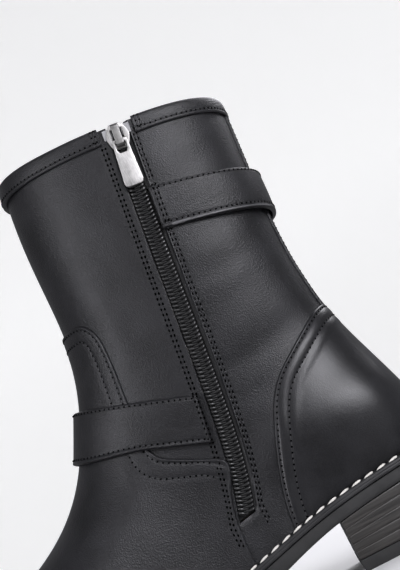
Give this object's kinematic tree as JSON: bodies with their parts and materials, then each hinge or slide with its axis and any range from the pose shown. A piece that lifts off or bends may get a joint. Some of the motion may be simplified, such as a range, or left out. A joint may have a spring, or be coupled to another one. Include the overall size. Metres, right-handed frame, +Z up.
{
  "type": "heeled boot",
  "caption": "Black leather right boot with a stacked block heel, welted sole, coil zip with a hanging pull on the inner side, and buckled straps round shaft and instep.",
  "frame": {"origin": "on the floor, under the middle of the boot's length and width", "axes": "+X towards the heel and -X towards the toe, -Y towards the inner side of the foot with the zip, +Z up"},
  "size_m": [0.2784, 0.1094, 0.2534],
  "materials": {
    "upper_leather": "smooth black leather with a soft sheen",
    "strap_leather": "smooth black leather with turned edges",
    "welt_rubber": "satin black with pale stitches",
    "sole_rubber": "matt black",
    "heel_stack": "polished black stack",
    "insole_leather": "matt tan",
    "zip_nylon": "black woven tape and nylon coil",
    "zip_metal": "old silver, brushed",
    "buckle_metal": "old silver, brushed"
  },
  "bodies": {
    "boot": {"upper": "upper_leather", "vamp": "upper_leather", "counter": "upper_leather", "back_strip": "upper_leather", "collar_binding": "upper_leather", "upper_strap": "strap_leather", "lower_strap": "strap_leather", "upper_chape": "strap_leather", "lower_chape": "strap_leather", "upper_buckle": "buckle_metal", "lower_buckle": "buckle_metal", "zip_chain": "zip_nylon", "zip_slider": "zip_metal", "insole": "insole_leather", "welt": "welt_rubber", "outsole": "sole_rubber", "heel_block": "heel_stack", "heel_top_lift": "sole_rubber"},
    "pull": {"zip_pull": "zip_metal"}
  },
  "joints": [
    {"name": "pull_swing", "type": "hinge", "parent": "boot", "child": "pull", "pos_m": [0.0605, -0.04877, 0.23683], "axis": [-0.9883, -0.0233, 0.1506], "range_deg": [0, 140]}
  ]
}
